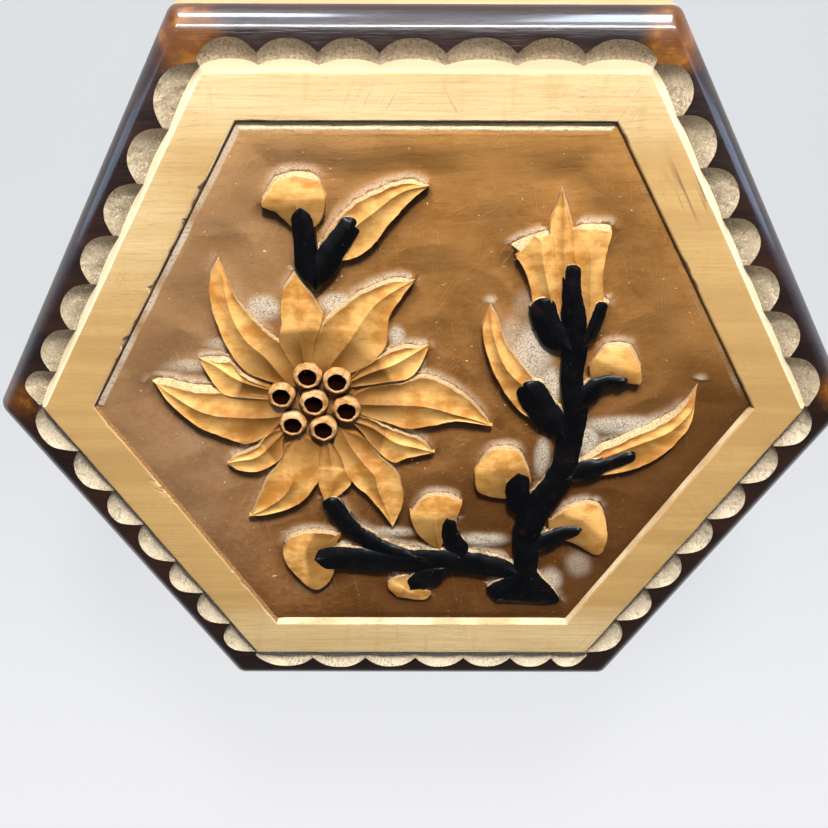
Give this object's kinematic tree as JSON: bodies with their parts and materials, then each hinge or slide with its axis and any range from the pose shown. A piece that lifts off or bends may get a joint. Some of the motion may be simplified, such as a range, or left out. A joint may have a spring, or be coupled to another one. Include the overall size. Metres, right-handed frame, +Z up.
{
  "type": "hexagonal wooden jewelry box",
  "caption": "Hexagonal wooden keepsake box with felt lining and a hinged lid carved in relief with a mountain flower, buds and a bellflower.",
  "frame": {"origin": "centre of the underside, on the surface the box stands on", "axes": "+Z up, +X to the right along the front wall through two corners of the hexagon, +Y to the hinged back wall"},
  "size_m": [0.143, 0.1244, 0.0601],
  "materials": {
    "carved_wood": "carved lime or maple, pale border, stained field and dark lacquered rim",
    "pale_wood": "clear satin varnish",
    "stained_wood": "dark brown gloss lacquer",
    "hardwood": "bare beech",
    "lining_felt": "wine red felt",
    "pad_felt": "dark grey felt",
    "brass": "lightly polished",
    "steel": "zinc plated"
  },
  "bodies": {
    "box": {"wall_front": "pale_wood", "wall_front_right": "pale_wood", "wall_back_right": "pale_wood", "wall_back": "pale_wood", "wall_back_left": "pale_wood", "wall_front_left": "pale_wood", "felt_front": "lining_felt", "felt_front_right": "lining_felt", "felt_back_right": "lining_felt", "felt_back": "lining_felt", "felt_back_left": "lining_felt", "felt_front_left": "lining_felt", "corner_splines": "hardwood", "base_board": "stained_wood", "base_screws": "steel", "felt_pads": "pad_felt", "floor_felt": "lining_felt", "hinge_left_wall_leaf": "brass", "hinge_right_wall_leaf": "brass", "hinge_left_pin": "brass", "hinge_right_pin": "brass", "hinge_screws_wall": "brass"},
    "lid": {"lid_board": "carved_wood", "lid_inner_panel": "pale_wood", "lid_felt": "lining_felt", "hinge_left_lid_leaf": "brass", "hinge_right_lid_leaf": "brass", "hinge_screws_lid": "brass"}
  },
  "joints": [
    {"name": "lid_hinge", "type": "hinge", "parent": "box", "child": "lid", "pos_m": [0, 0.0599, 0.04805], "axis": [-1, 0, 0], "range_deg": [0, 100]}
  ]
}
